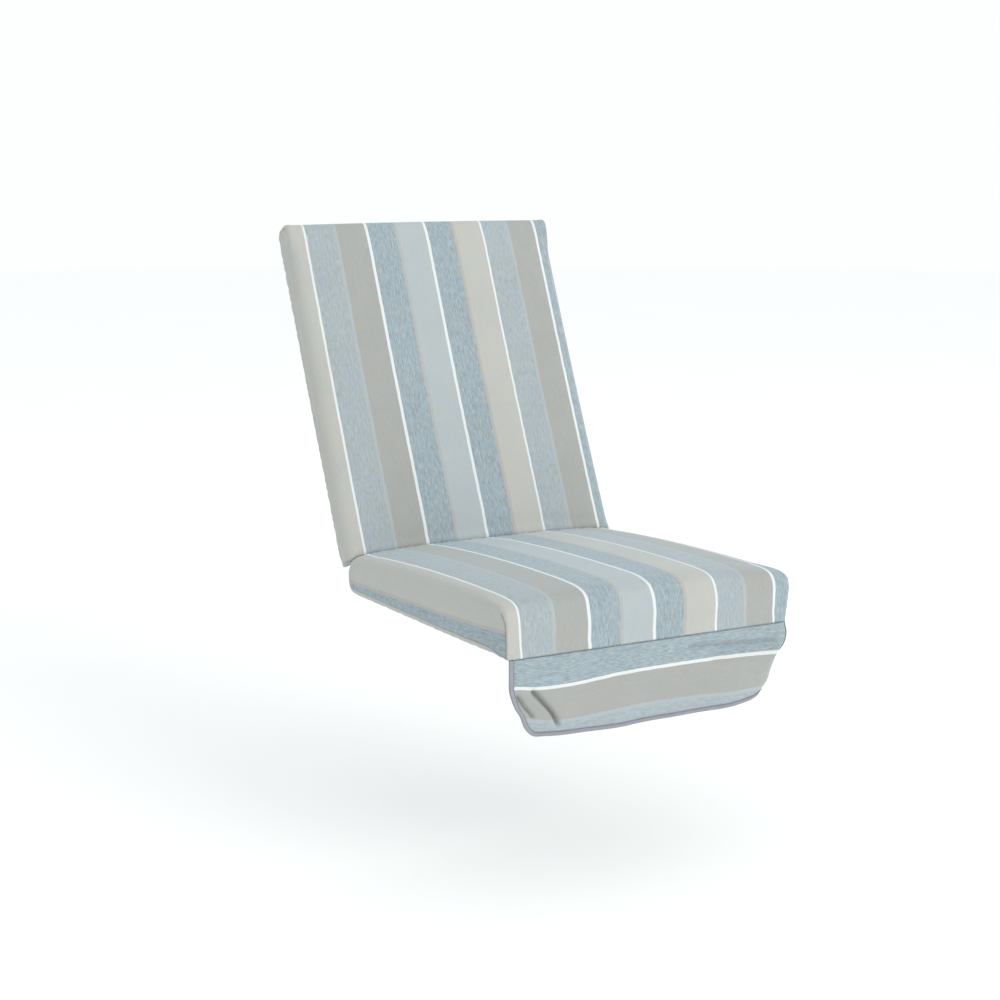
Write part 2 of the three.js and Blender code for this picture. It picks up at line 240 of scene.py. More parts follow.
TAPE_SURFACE = {"Roughness": 0.85, "Specular IOR Level": 0.3}
FLOOR_SURFACE = {"Roughness": 1.0, "Specular IOR Level": 0.0}

# Mesh steps
MIDDLE_STEPS = 76
SIDE_STEPS = 6
ROW_SPACING = 6.5
CURVE_STEPS = 24
VALANCE_COLUMNS = 220
VALANCE_ROWS = 54
TAPE_EDGE_STEPS = 12
TAPE_SECTION_POINTS = 9
SURFACE_STEP = 0.5            # over which the hanging surface's direction is taken
WELD_DISTANCE = 0.02

# Camera, fitted to the photo's stripe lines. Its place is in metres.
CAMERA_PLACE = (-1.5561, -2.3955, 0.6752)
CAMERA_FORWARD = (0.50427, 0.84688, -0.16883)
CAMERA_RIGHT = (0.85922, -0.51160, 0.00007)
CAMERA_FOCAL_SHARE = 1.692    # focal length over the picture's width
SENSOR_WIDTH = 36.0
CLIP_RANGE = (0.05, 200)

# Floor and light, with lengths in metres
FLOOR_HEIGHT = -0.42
FLOOR_RADIUS = 30.0
FLOOR_SEGMENTS = 96
FLOOR_TONES = ((0.96, 0.97, 0.97), (0.99, 1.0, 1.0))
FLOOR_NOISE = {"Scale": 1.5, "Detail": 4.0}
SKY_COLOUR = (0.98, 1.0, 1.0)
SKY_STRENGTH = 1.0
KEY_PLACE = (3.2, -8.4, 3.5)
KEY_AIM = (0, 0, 0.3)
KEY_SIZE = 6.0
KEY_POWER = 400
KEY_COLOUR = (1.0, 0.97, 0.93)


def smoothstep(value, low, high):
    """A smooth rise from zero at the low value to one at the high value."""
    share = np.clip((value - low) / (high - low), 0, 1)
    return share * share * (3 - 2 * share)


def level_at(value, table):
    """The value of a smooth curve through a table of places and levels."""
    places, levels = np.array(table, float).T
    slopes = np.zeros(len(places))
    slopes[1:-1] = (levels[2:] - levels[:-2]) / (places[2:] - places[:-2])
    place = np.clip(value, places[0], places[-1])
    step = np.clip(np.searchsorted(places, place, side="right") - 1, 0, len(places) - 2)
    width = places[step + 1] - places[step]
    share = (place - places[step]) / width
    rise = share * share * (3 - 2 * share)
    early = share * (1 - share) ** 2 * width * slopes[step]
    late = share**2 * (1 - share) * width * slopes[step + 1]
    return levels[step] + (levels[step + 1] - levels[step]) * rise + early - late


def rounding_loss(inside, radius):
    """How far a rounded edge has fallen away at a given distance inside it."""
    reach = np.clip(1 - inside / radius, 0, 1)
    return radius * (1 - np.sqrt(1 - reach * reach))


def face_loss(x, crown, side_rounding):
    """How far a pad's covered face lies below its middle, at one place across the width."""
    height, power = crown
    return rounding_loss(HALF_WIDTH - abs(x), side_rounding) + height * abs(x / HALF_WIDTH) ** power


def curve(*controls):
    """Points along a line, a quadratic or a cubic curve, from its two to four controls."""
    share = np.linspace(0, 1, CURVE_STEPS + 1)[:, None]
    layer = [np.array(point, float) for point in controls]
    while len(layer) > 1:
        layer = [a + (b - a) * share for a, b in zip(layer, layer[1:])]
    return layer[0]


def joined(*runs):
    """Runs that meet end to end as one run."""
    return np.vstack([runs[0]] + [run[1:] for run in runs[1:]])


def halves(run):
    """A run's two halves, which share its middle point."""
    middle = len(run) // 2
    return run[: middle + 1], run[middle:]


def lengths_along(run):
    return np.concatenate([[0], np.cumsum(np.linalg.norm(np.diff(run, axis=0), axis=1))])


def spaced(run, count):
    """A run again as count equal steps."""
    lengths = lengths_along(run)
    places = np.linspace(0, lengths[-1], count + 1)
    return np.stack([np.interp(places, lengths, axis) for axis in run.T], axis=1)


def seat_outline(x, side_rounding):
    """The seat's outline in its Y-Z plane as four joined runs, at one place across the width."""
    inside = HALF_WIDTH - abs(x)
    loss = face_loss(x, SEAT_CROWN, side_rounding)
    foot = rounding_loss(inside, SEAT_FOOT_ROUNDING)
    front = FRONT_Y + rounding_loss(inside, FRONT_CORNER_ROUNDING)
    slope = math.tan(FOLD_FACE_ANGLE)
    rear = FOLD_Y + FOLD_FACE_LENGTH * slope
    crease_y = min(FOLD_Y + loss * slope, rear)
    crease_z = SEAT_REAR_HEIGHT - loss
    edge_z = SEAT_FRONT_HEIGHT - loss - SEAT_TILT * x / HALF_WIDTH
    fullest = (crease_z + edge_z) / 2 + 2 * SEAT_SWELL
    toe = (front, rounding_loss(inside, FRONT_FOOT_ROUNDING))
    toe_end = (front + FRONT_CORNER_REACH, foot)
    heel = (rear - SEAT_HEEL_ROUNDING, foot)
    heel_end = (rear, foot + SEAT_FOOT_ROUNDING)
    below = (min(crease_y + FOLD_ROUNDING * slope, rear), crease_z - FOLD_ROUNDING)
    crease = (crease_y - FOLD_ROUNDING, crease_z)
    edge = (front + SEAT_EDGE_DEPTH, edge_z)
    edge_end = (front, edge_z - SEAT_EDGE_HEIGHT)
    edge_top, edge_front = halves(curve(edge, (front, edge_z), (front, edge_z), edge_end))
    return [
        joined(curve(toe, toe_end), curve(toe_end, heel), curve(heel, (rear, foot), heel_end)),
        joined(curve(heel_end, (rear, crease_z - FOLD_FACE_LENGTH)),
               curve((rear, crease_z - FOLD_FACE_LENGTH), below)),
        joined(curve(below, (crease_y, crease_z), crease),
               curve(crease, (SEAT_FULLEST_Y, fullest), edge), edge_top),
        joined(edge_front, curve(edge_end, toe)),
    ]


def back_outline(x, side_rounding):
    """The back's outline as depth behind the fold and height above it, as four joined runs."""
    inside = HALF_WIDTH - abs(x)
    face = face_loss(x, BACK_CROWN, side_rounding)
    rear = BACK_THICKNESS - rounding_loss(inside, BACK_REAR_ROUNDING)
    top = BACK_HEIGHT + BACK_TILT * x / HALF_WIDTH - rounding_loss(inside, BACK_CORNER_ROUNDING)
    angle = FOLD_FACE_ANGLE + BACK_LEAN
    crease = -min(face, FOLD_FACE_LENGTH * math.sin(angle)) / math.tan(angle)
    head = face - BACK_HEAD_SWELL
    swell_share, hollow_share = BACK_SHARES

    def along(distance):
        return face + distance * math.sin(angle), crease - distance * math.cos(angle)

    ridge = (max(rear - BACK_REAR_ROUNDING, head + BACK_TOP_ROUNDING + 1), top)
    brow = (head + BACK_TOP_ROUNDING, top)
    neck = (head, top - BACK_TOP_ROUNDING)
    fold = (face, crease + FOLD_ROUNDING)
    foot = (rear, BACK_FOOT_DROP / 2)
    rear_edge, top_edge = halves(curve((rear, top - BACK_REAR_ROUNDING), (rear, top), ridge))
    brow_top, brow_face = halves(curve(brow, (head, top), neck))
    return [
        curve(along(FOLD_ROUNDING), along(FOLD_FACE_LENGTH), (rear, -2 * BACK_FOOT_DROP), foot),
        joined(curve(foot, (rear, top - BACK_REAR_ROUNDING)), rear_edge),
        joined(top_edge, curve(ridge, brow), brow_top),
        joined(
            brow_face,
            curve(neck, (head, swell_share * top), (face + BACK_HOLLOW, hollow_share * top), fold),
            curve(fold, (face, crease), along(FOLD_ROUNDING)),
        ),
    ]


def tightened(outline, x, share_of):
    """An outline whose sides' rounding tightens beside the sewn corners."""
    runs = []
    for broad, sewn in zip(outline(x, SIDE_ROUNDING), outline(x, SEWN_SIDE_ROUNDING)):
        runs.append(broad + (sewn - broad) * share_of(broad)[:, None])
    return runs


def seat_section(x):
    def share_of(run):
        return 1 - smoothstep(run[:, 0] - FRONT_Y, *SEAT_BROW)

    return tightened(seat_outline, x, share_of)


def back_section(x):
    def share_of(run):
        return 1 - smoothstep(BACK_HEIGHT - run[:, 1], *BACK_BROW)

    return tightened(back_outline, x, share_of)


def width_stations():
    """Places across the width, close together where the sides round off."""
    flat = HALF_WIDTH - SIDE_ROUNDING
    angles = np.linspace(0, math.pi / 2, SIDE_STEPS + 1)
    rounded = flat + SIDE_ROUNDING * np.sin(angles)
    middle = np.linspace(-flat, flat, MIDDLE_STEPS + 1)
    return np.concatenate([-rounded[:0:-1], middle, rounded[1:]])


def cloth_across(x, radius):
    """The place across on the cloth that lies at x, where it runs up and over a rounded side."""
    flat = HALF_WIDTH - radius
    turn = np.arcsin(np.clip((np.abs(x) - flat) / radius, 0, 1))
    over_side = np.sign(x) * (np.minimum(np.abs(x), flat) + EDGE_TAKE_UP * radius * turn)
    return over_side - MIDDLE_SHIFT * np.maximum(1 - (x / SHIFT_REACH) ** 2, 0)


def seam_sag(x):
    """How far the seam along the front panel's foot has sagged at one place across."""
    return SEAM_SAG * (x + HALF_WIDTH) / (2 * HALF_WIDTH)


def seat_place(x, run):
    """Points of the seat from one outline run, its front corners drawn in, its foot sagging."""
    y, z = run[:, 0], run[:, 1]
    side = 1 if x > 0 else -1
    draw_in, start, top_share = DRAW_IN[side]
    behind_front = y - FRONT_Y
    near_foot = np.maximum(1 - z / FRONT_RISE, 0)
    near_end = smoothstep(abs(x), start, HALF_WIDTH)
    near_seam = np.maximum(1 - behind_front / FRONT_CORNER_REACH, 0) ** 2 * near_foot
    reach = np.exp(-behind_front / FRONT_CORNER_REACH)
    middle_lean, lean_change = FOOT_LEAN
    lean = (middle_lean + lean_change * x) * near_seam * (1 - near_end)
    across = x - side * draw_in * near_end * reach * np.maximum(near_foot, top_share) + lean
    return np.stack([across, y, z - seam_sag(x) * near_seam], axis=1)


def back_place(x, run):
    """Points of the back from one outline run, leaning back from the fold."""
    behind, up = run[:, 0], run[:, 1]
    lean, tilt = BACK_LEAN, FOLD_FACE_ANGLE
    y = FOLD_Y + STITCH_GAP * math.cos(tilt) + behind * math.cos(lean) + up * math.sin(lean)
    z = SEAT_REAR_HEIGHT + STITCH_GAP * math.sin(tilt) - behind * math.sin(lean)
    return np.stack([np.full(len(run), x), y, z + up * math.cos(lean)], axis=1)


def filled_between(lower, rear, upper, front):
    """A grid of points between four runs, the lower and upper ones going back, the others up.

    With it comes how far a bulge would stand out at each point, from none at the edges to one.
    """
    back = np.linspace(0, 1, len(lower))[:, None, None]
    up = np.linspace(0, 1, len(rear))[None, :, None]
    blend = (1 - up) * lower[:, None] + up * upper[:, None]
    blend = blend + (1 - back) * front[None] + back * rear[None]
    corners = (1 - back) * ((1 - up) * lower[0] + up * upper[0])
    corners = corners + back * ((1 - up) * lower[-1] + up * upper[-1])
    bulge = (1 - (2 * up - 1) ** 2) * (1 - (2 * back - 1) ** SIDE_BULGE_POWER)
    return blend - corners, bulge[..., 0]


def side_cloth(plane, side, edge, edge_cloth, turned):
    """Cloth places on a side: on from the covered face, straight down or back from its edge."""
    run, depth, away = (1, 0, 1) if turned else (0, 1, -1)
    order = np.argsort(edge[:, run])
    along = np.interp(plane[..., run], edge[order, run], edge_cloth[order, 1])
    middle = slice(len(edge) // 4, 3 * len(edge) // 4)
    level = np.polyval(np.polyfit(edge[middle, run], edge[middle, depth], 1), plane[..., run])
    beyond = np.maximum(away * (plane[..., depth] - level), 0)
    return np.stack([edge_cloth[0, 0] + side * beyond, along], axis=2)


def pad_patches(section, place, turned):
    """A pad as patches of points and cloth places: its four runs and its two sides.

    The last run of the section is the covered face if turned is true, or else the third is;
    the cloth runs on from it over both neighbouring edges and over the sides.
    """
    stations = width_stations()
    centre = section(0)
    counts = [round(lengths_along(run)[-1] / ROW_SPACING) for run in centre]
    long_way, short_way = max(counts[0], counts[2]), max(counts[1], counts[3])
    counts = [long_way, short_way, long_way, short_way]
    planes = [
        [spaced(run, count) for run, count in zip(section(x), counts)] for x in stations
    ]
    along = np.cumsum([0] + [lengths_along(run)[-1] for run in centre])
    face = 3 if turned else 2
    patches = []
    for run in range(4):
        points = np.array([place(x, plane[run]) for x, plane in zip(stations, planes)])
        length = np.linspace(along[run], along[run + 1], counts[run] + 1)
        across = cloth_across(stations, SIDE_ROUNDING if run == face else FRONT_CORNER_ROUNDING)
        patches.append((points, np.stack(np.meshgrid(across, length, indexing="ij"), axis=2)))
    for end, side in ((0, -1), (-1, 1)):
        runs = [grid[end] for grid, _ in patches[:4]]
        points, bulge = filled_between(runs[0], runs[1], runs[2][::-1], runs[3][::-1])
        points[..., 0] += side * SIDE_BULGE * bulge
        flat = planes[end]
        plane, _ = filled_between(flat[0], flat[1], flat[2][::-1], flat[3][::-1])
        cloth = side_cloth(plane, side, flat[face], patches[face][1][end], turned)
        patches.append((points, cloth))
    return patches


def pad_seams(patches, turned):
    """The lines of points along a pad's seams."""
    runs = [grid for grid, _ in patches[:4]]
    ends = (0, -1)
    if turned:
        lines = [runs[1][end] for end in ends] + [runs[2][end] for end in ends]
        return lines + [runs[1][:, 0], runs[1][:, -1], runs[0][:, 0]]
    lines = [runs[number][end] for number in (0, 1, 3) for end in ends]
    return lines + [runs[3][:, -1], runs[0][:, -1], runs[2][:, 0]]


def mesh_from_patches(name, patches):
    """One mesh of quads from patches, joined where they meet, with its cloth places as UVs."""
    points, cloths, faces, start = [], [], [], 0
    for grid, cloth in patches:
        rows, columns = grid.shape[:2]
        index = start + np.arange(rows * columns).reshape(rows, columns)
        corners = (index[:-1, :-1], index[1:, :-1], index[1:, 1:], index[:-1, 1:])
        faces.append(np.stack(corners, axis=-1).reshape(-1, 4))
        points.append(grid.reshape(-1, 3))
        cloths.append(cloth.reshape(-1, 2))
        start += rows * columns
    faces = np.vstack(faces)
    mesh = bpy.data.meshes.new(name)
    mesh.from_pydata((np.vstack(points) * MM).tolist(), [], faces.tolist())
    layer = mesh.uv_layers.new(name="cloth")
    layer.data.foreach_set("uv", (np.vstack(cloths)[faces.reshape(-1)] * MM).ravel())
    weld(mesh)
    thing = bpy.data.objects.new(name, mesh)
    bpy.context.scene.collection.objects.link(thing)
    return thing


def weld(mesh):
    """Joins points that coincide, turns the faces outwards and shades them smooth."""
    work = bmesh.new()
    work.from_mesh(mesh)
    bmesh.ops.remove_doubles(work, verts=work.verts, dist=WELD_DISTANCE * MM)
    bmesh.ops.recalc_face_normals(work, faces=work.faces)
    for face in work.faces:
        face.smooth = True
    work.to_mesh(mesh)
    work.free()


def positions(mesh):
    flat = np.empty(len(mesh.vertices) * 3)
    mesh.vertices.foreach_get("co", flat)
    return flat.reshape(-1, 3) / MM


def set_positions(mesh, points):
    mesh.vertices.foreach_set("co", (points * MM).ravel())
    mesh.update()


def normals(mesh):
    flat = np.empty(len(mesh.vertices) * 3)
    mesh.vertices.foreach_get("normal", flat)
    return flat.reshape(-1, 3)


def tree_of(points):
    tree = KDTree(len(points))
    for number, point in enumerate(points):
        tree.insert(point, number)
    tree.balance()
    return tree


def apply_modifiers(thing):
    """The piece's mesh as its modifiers leave it, with none kept."""
    graph = bpy.context.evaluated_depsgraph_get()
    graph.update()
    shaped = bpy.data.meshes.new_from_object(thing.evaluated_get(graph))
    thing.modifiers.clear()
    thing.data = shaped


def subdivide(thing):
    """One subdivision, which keeps the mesh's points first and in their order."""
    rounder = thing.modifiers.new("round", "SUBSURF")
    rounder.levels = 1
    rounder.render_levels = 1
    rounder.uv_smooth = "NONE"
    apply_modifiers(thing)


def numbered(mesh, lines):
    """Each line's points as the numbers of the mesh points that lie there."""
    tree = tree_of(positions(mesh))
    return [[tree.find(point)[1] for point in line] for line in lines]


def sharpen(mesh, numbered_lines):
    """Keeps the edges along numbered lines of points crisper under subdivision."""
    sewn = {frozenset(pair) for line in numbered_lines for pair in zip(line, line[1:])}
    layer = mesh.attributes.new("crease_edge", "FLOAT", "EDGE")
    for edge, crease in zip(mesh.edges, layer.data):
        if frozenset(edge.vertices) in sewn:
            crease.value = SEAM_SHARPNESS


def seam_field(mesh, numbered_lines):
    """Each mesh point's distance from the nearest seam, and its place along that seam."""
    points = positions(mesh)
    samples, places = [], []
    for line in numbered_lines:
        run = points[line]
        fine = spaced(run, (len(run) - 1) * SEAM_SAMPLES)
        samples.append(fine)
        places.append(lengths_along(fine))
    tree = tree_of(np.vstack(samples))
    found = [tree.find(point) for point in points]
    places = np.concatenate(places)
    return np.array([hit[2] for hit in found]), np.array([places[hit[1]] for hit in found])


def mark(mesh, name, values):
    """Keeps a value at each point for the material."""
    layer = mesh.attributes.new(name, "FLOAT", "POINT")
    layer.data.foreach_set("value", values)


def swollen(thing, distance):
    """Swells a pad by air pressure between its seams, each point along its normal and in reach."""
    mesh = thing.data
    home, ways = positions(mesh), normals(mesh)
    free = smoothstep(distance, 0, AIR_SEAM_FADE)
    set_positions(mesh, home - ways * AIR_INSET * free[:, None])
    sewn = thing.vertex_groups.new(name="sewn")
    for number, share in enumerate(free):
        sewn.add([number], 1 - share, "REPLACE")
    air = thing.modifiers.new("air", "CLOTH")
    air.settings.use_pressure = True
    air.settings.uniform_pressure_force = AIR_PRESSURE
    air.settings.vertex_group_mass = sewn.name
    air.settings.effector_weights.gravity = 0
    air.point_cache.frame_start = 1
    air.point_cache.frame_end = AIR_FRAMES
    scene = bpy.context.scene
    for step in range(1, AIR_FRAMES + 1):
        scene.frame_set(step)
    apply_modifiers(thing)
    scene.frame_set(1)
    thing.vertex_groups.clear()
    moved = positions(thing.data) - home
    outwards = np.sum(moved * ways, axis=1, keepdims=True)
    set_positions(thing.data, home + ways * AIR_REACH * np.tanh(outwards / AIR_REACH))


def sewn_in(thing, numbered_lines):
    """Draws the cloth in along the seams, with soft puckers beside them."""
    mesh = thing.data
    distance, place = seam_field(mesh, numbered_lines)
    groove = GROOVE_DEPTH * np.exp(-((distance / GROOVE_WIDTH) ** 2))
    short, long = PUCKER_LENGTHS
    wander = PUCKER_WANDER * np.sin(2 * math.pi * place / long)
    ripple = np.sin(2 * math.pi * place / short + wander)
    swell = PUCKER_HEIGHT * ripple * np.exp(-((distance / PUCKER_REACH) ** 2))
    swell *= smoothstep(distance, 0, PUCKER_REACH / 2)
    set_positions(mesh, positions(mesh) + normals(mesh) * (swell - groove)[:, None])
    # The material turns this distance into a darker line: the stitching, and painted shade in the
    # seam's recess.
    mark(mesh, "seam", distance * MM)


def pad(name, section, place, turned):
    """One filled pad, with its seams sewn in."""
    patches = pad_patches(section, place, turned)
    thing = mesh_from_patches(name, patches)
    seams = numbered(thing.data, pad_seams(patches, turned))
    swollen(thing, seam_field(thing.data, seams)[0])
    sharpen(thing.data, seams)
    subdivide(thing)
    sewn_in(thing, seams)
    return thing


def curled(along, drop):
    """The right end's curl: how far along and how far back the cloth has come."""
    start = level_at(drop, CURL)
    past = np.maximum(along - start, 0)
    radius = (VALANCE_RIGHT - start) / CURL_BEND
    across = np.minimum(along, start) + radius * np.sin(past / radius)
    return across, radius * (1 - np.cos(past / radius))


def crease_share(along, drop, start, end, spread):
    """How strong one crease is at a place, fading at its ends and to both sides."""
    start, end = np.array(start, float), np.array(end, float)
    place = np.stack([along, drop], axis=-1)
    run = end - start
    share = np.clip(((place - start) @ run) / (run @ run), 0, 1)
    away = np.linalg.norm(place - start - share[..., None] * run, axis=-1)
    return np.exp(-((away / spread) ** 2))


def hem_bow(along):
    """How much lower than its ends the hem hangs at one place along it."""
    return VALANCE_BOW * np.maximum(1 - (along / VALANCE_LEFT) ** 2, 0)


def valance_surface(along, drop):
    """The hanging surface's points, from distances along the seam and drops below it."""
    share = np.maximum(drop, 0) / VALANCE_DROP
    across, back = curled(along, drop)
    for height, length, phase in WAVES:
        back = back + height * share * np.sin(2 * math.pi * along / length + phase)
    for start, end, depth, spread, _ in CREASES:
        crease = crease_share(along, drop, start, end, spread)
        back = back + depth * crease * np.minimum(CREASE_ONSET * share, 1)
    turn, reach = HEM_TURN
    over_hem = VALANCE_DROP + hem_bow(along) - drop
    back = back + turn * np.maximum(1 - over_hem / reach, 0) ** 2
    near_left = smoothstep(-along, GATHER_START, VALANCE_LEFT)
    near_right = smoothstep(along, HEM_LIFT_START, VALANCE_LEFT)
    lift = 0
    for near_end, (upwards, low, high) in ((near_left, GATHER_LIFT), (near_right, HEM_LIFT)):
        lift = lift + upwards * near_end * smoothstep(drop, low, high)
    return np.stack(
        [
            across + near_left * level_at(drop, GATHER),
            FRONT_Y + VALANCE_SETBACK + back,
            lift - STITCH_GAP - seam_sag(across) - drop,
        ],
        axis=-1,
    )


def off_valance(along, drop, distance):
    """Points off the hanging surface, forwards of it."""
    step = SURFACE_STEP
    over = valance_surface(along + step, drop) - valance_surface(along - step, drop)
    down = valance_surface(along, drop + step) - valance_surface(along, drop)
    ahead = np.cross(down, over)
    ahead /= np.linalg.norm(ahead, axis=-1, keepdims=True)
    return valance_surface(along, drop) + ahead * np.asarray(distance)[..., None]


def hem_drop(along):
    """The drop of the hem line, which rounds up into both sides."""
    inside = np.minimum(along + VALANCE_LEFT, VALANCE_RIGHT - along)
    return VALANCE_DROP + hem_bow(along) - rounding_loss(inside, VALANCE_CORNER)


def valance_stations():
    """Places along the seam, close together over the rounded lower corners."""
    angles = np.linspace(0, math.pi / 2, TAPE_EDGE_STEPS + 1)
    rounded = VALANCE_CORNER * np.sin(angles)
    left = VALANCE_CORNER - VALANCE_LEFT - rounded[::-1]
    right = VALANCE_RIGHT - VALANCE_CORNER + rounded
    middle = np.linspace(left[-1], right[0], VALANCE_COLUMNS + 1)
    return np.concatenate([left[:-1], middle, right[1:]])


def valance_cloth(along, drop):
    """Cloth places on the valance, which is cut with its stripes lying across."""
    white = FIRST_WHITE + WHITE_SPACING
    up = level_at(along, VALANCE_WHITE) - drop
    across = white + up * level_at(along, VALANCE_STRIPE_SCALE)
    return np.stack([across, along], axis=-1)


def valance():
    """The hanging sheet: its front, its rear and the four edges between them, as one mesh."""
    stations = valance_stations()
    share = np.linspace(0, 1, VALANCE_ROWS + 1)
    drop = hem_drop(stations)[:, None] * share[None]
    along = np.broadcast_to(stations[:, None], drop.shape)
    cloth = valance_cloth(along, drop)
    front, rear = (
        off_valance(along, drop, np.full(drop.shape, side * VALANCE_THICKNESS / 2))
        for side in (1, -1)
    )
    patches = [(front, cloth), (rear, cloth)]
    for edge in ((0, slice(None)), (-1, slice(None)), (slice(None), 0), (slice(None), -1)):
        points = np.stack([front[edge], rear[edge]], axis=1)
        patches.append((points, np.stack([cloth[edge], cloth[edge]], axis=1)))
    sheet = mesh_from_patches("valance_cloth", patches)
    mesh = sheet.data
    # The material darkens the top edge along this seam: its stitching, and painted shade under the
    # front panel's foot.
    seam = numbered(mesh, [front[:, 0]])
    mark(mesh, "seam", seam_field(mesh, seam)[0] * MM)
    # Painted shade in the creases, kept at each point for the material.
    crease_shade = sum(
        darkness * crease_share(along, drop, start, end, spread)
        for start, end, _, spread, darkness in CREASES
    )
    tree = tree_of(front.reshape(-1, 3))
    nearest = [tree.find(point)[1] for point in positions(mesh)]
    mark(mesh, "crease", crease_shade.reshape(-1)[nearest])
    return sheet


def bound_edge():
    """The bound edge: down the left side, along the hem and up the right side."""
    left, right = VALANCE_CORNER - VALANCE_LEFT, VALANCE_RIGHT - VALANCE_CORNER
    low = VALANCE_DROP - VALANCE_CORNER
    turn = np.linspace(0, math.pi / 2, 2 * TAPE_EDGE_STEPS + 1)
    corner = VALANCE_CORNER * np.stack([np.sin(turn), np.cos(turn)], axis=1)
    left_corner = np.stack([left - corner[:, 1], low + corner[:, 0]], axis=1)
    right_corner = np.stack([right + corner[:, 0], low + corner[:, 1]], axis=1)
    edge = joined(
        spaced(np.array([(-VALANCE_LEFT, 0), (-VALANCE_LEFT, low)]), VALANCE_ROWS),
        left_corner,
        spaced(np.array([(left, VALANCE_DROP), (right, VALANCE_DROP)]), VALANCE_COLUMNS),
        right_corner,
        spaced(np.array([(VALANCE_RIGHT, low), (VALANCE_RIGHT, 0)]), VALANCE_ROWS),
    )
    edge[:, 1] += hem_bow(edge[:, 0])
    return edge


def tape_section():
    """The folded tape's section: past the cloth's edge, and off the cloth's middle."""
    inner = VALANCE_THICKNESS / 2 + TAPE_CLEARANCE
    outer = inner + TAPE_THICKNESS
    outer_bend, inner_bend = (TAPE_CLEARANCE * share for share in TAPE_FOLD)
    reach = np.linspace(-TAPE_COVER, 0, TAPE_SECTION_POINTS)
    turn = np.linspace(math.pi / 2, -math.pi / 2, TAPE_SECTION_POINTS)[1:-1]
    bend_out = [(outer_bend * math.cos(angle), outer * math.sin(angle)) for angle in turn]
    bend_in = [(inner_bend * math.cos(angle), inner * math.sin(angle)) for angle in turn[::-1]]
    return np.array(
        [(past, outer) for past in reach] + bend_out + [(past, -outer) for past in reach[::-1]]
        + [(past, -inner) for past in reach] + bend_in + [(past, inner) for past in reach[::-1]]
    )


def binding():
    """The tape folded over the valance's free edges, as a closed sleeve along them."""
    edge = bound_edge()
    run = np.gradient(edge, axis=0)
    run /= np.linalg.norm(run, axis=1, keepdims=True)
    section = tape_section()
    past, off = section[:, 0], section[:, 1]
    along = edge[:, :1] - run[:, 1:] * past[None]
    drop = edge[:, 1:] + run[:, :1] * past[None]
    points = off_valance(along, drop, np.broadcast_to(off[None], along.shape))
    points = np.concatenate([points, points[:, :1]], axis=1)
    length = lengths_along(edge)
    width = lengths_along(np.vstack([section, section[:1]]))
    cloth = np.stack(np.meshgrid(length, width, indexing="ij"), axis=2)
    half = len(section) // 2
    patches = [(points, cloth)]
    for end in (0, -1):
        outer, inner = points[end, :half], points[end, half:-1][::-1]
        end_cloth = np.stack([cloth[end, :half]] * 2, axis=1)
        patches.append((np.stack([outer, inner], axis=1), end_cloth))
    return mesh_from_patches("valance_tape", patches)


def add_node(tree, kind, inputs=(), **settings):
    """A new shader node with its settings, its inputs set to values or linked to sockets."""
    made = tree.nodes.new(kind)
    for name, value in settings.items():
        setattr(made, name, value)
    for name, value in dict(inputs).items():
        if isinstance(value, bpy.types.NodeSocket):
            tree.links.new(value, made.inputs[name])
        else:
            made.inputs[name].default_value = value
    return made


def maths(tree, operation, first, second=0.0, third=0.0):
    inputs = {0: first, 1: second, 2: third}
    return add_node(tree, "ShaderNodeMath", inputs, operation=operation).outputs[0]


def mixed(tree, share, first, second, blend="MIX"):
    inputs = {0: share, 6: first, 7: second}
    node = add_node(tree, "ShaderNodeMix", inputs, data_type="RGBA", blend_type=blend)
    return node.outputs[2]


def noise(tree, across, along, setting):
    """Soft noise on the cloth, from about minus a half to a half, longer than it is wide."""
    across_scale, along_scale, detail, roughness, shift = setting
    x = maths(tree, "MULTIPLY_ADD", across, across_scale, shift)
    y = maths(tree, "MULTIPLY_ADD", along, along_scale, shift)
    vector = add_node(tree, "ShaderNodeCombineXYZ", {0: x, 1: y}).outputs[0]
    inputs = {"Vector": vector, "Scale": 1.0, "Detail": detail, "Roughness": roughness}
    cloud = add_node(tree, "ShaderNodeTexNoise", inputs, noise_dimensions="2D").outputs[0]
    return maths(tree, "SUBTRACT", cloud, 0.5)


def opaque(colour):
    return (*colour, 1.0)


def scaled(tree, colour, gain):
    """A colour made brighter or darker by a factor."""
    grey = add_node(tree, "ShaderNodeCombineColor", {0: gain, 1: gain, 2: gain}).outputs[0]
    return mixed(tree, 1.0, colour, grey, "MULTIPLY")


def line_shade(tree, distance, line):
    """The cloth's brightness beside a soft dark line, at a distance from the line's middle."""
    width, darkness = line
    ratio = maths(tree, "DIVIDE", distance, width * MM)
    square = maths(tree, "POWER", ratio, 2.0)
    share = maths(tree, "POWER", math.e, maths(tree, "MULTIPLY", square, -1.0))
    return maths(tree, "MULTIPLY_ADD", share, -darkness, 1.0)


def attribute(tree, name):
    """A value that was marked at the mesh's points, or none where it wasn't."""
    return add_node(tree, "ShaderNodeAttribute", attribute_name=name).outputs["Fac"]


def stripe_ramp(tree, place, value_of):
    """A ramp that steps from stripe to stripe over one repeat."""
    ramp = add_node(tree, "ShaderNodeValToRGB", {0: place})
    stops = ramp.color_ramp
    stops.interpolation = "CONSTANT"
    start = 0.0
    for number, (width, name) in enumerate(STRIPES):
        stop = stops.elements[0] if number == 0 else stops.elements.new(start / STRIPE_REPEAT)
        stop.position = start / STRIPE_REPEAT
        stop.color = opaque(value_of(name))
        start += width
    stops.elements.remove(stops.elements[-1])
    return ramp.outputs[0]


def new_material(name, surface):
    """A material with its surface's settings, its node tree and its shader."""
    material = bpy.data.materials.new(name)
    material.use_nodes = True
    tree = material.node_tree
    shader = tree.nodes["Principled BSDF"]
    for setting, value in surface.items():
        shader.inputs[setting].default_value = value
    return material, tree, shader


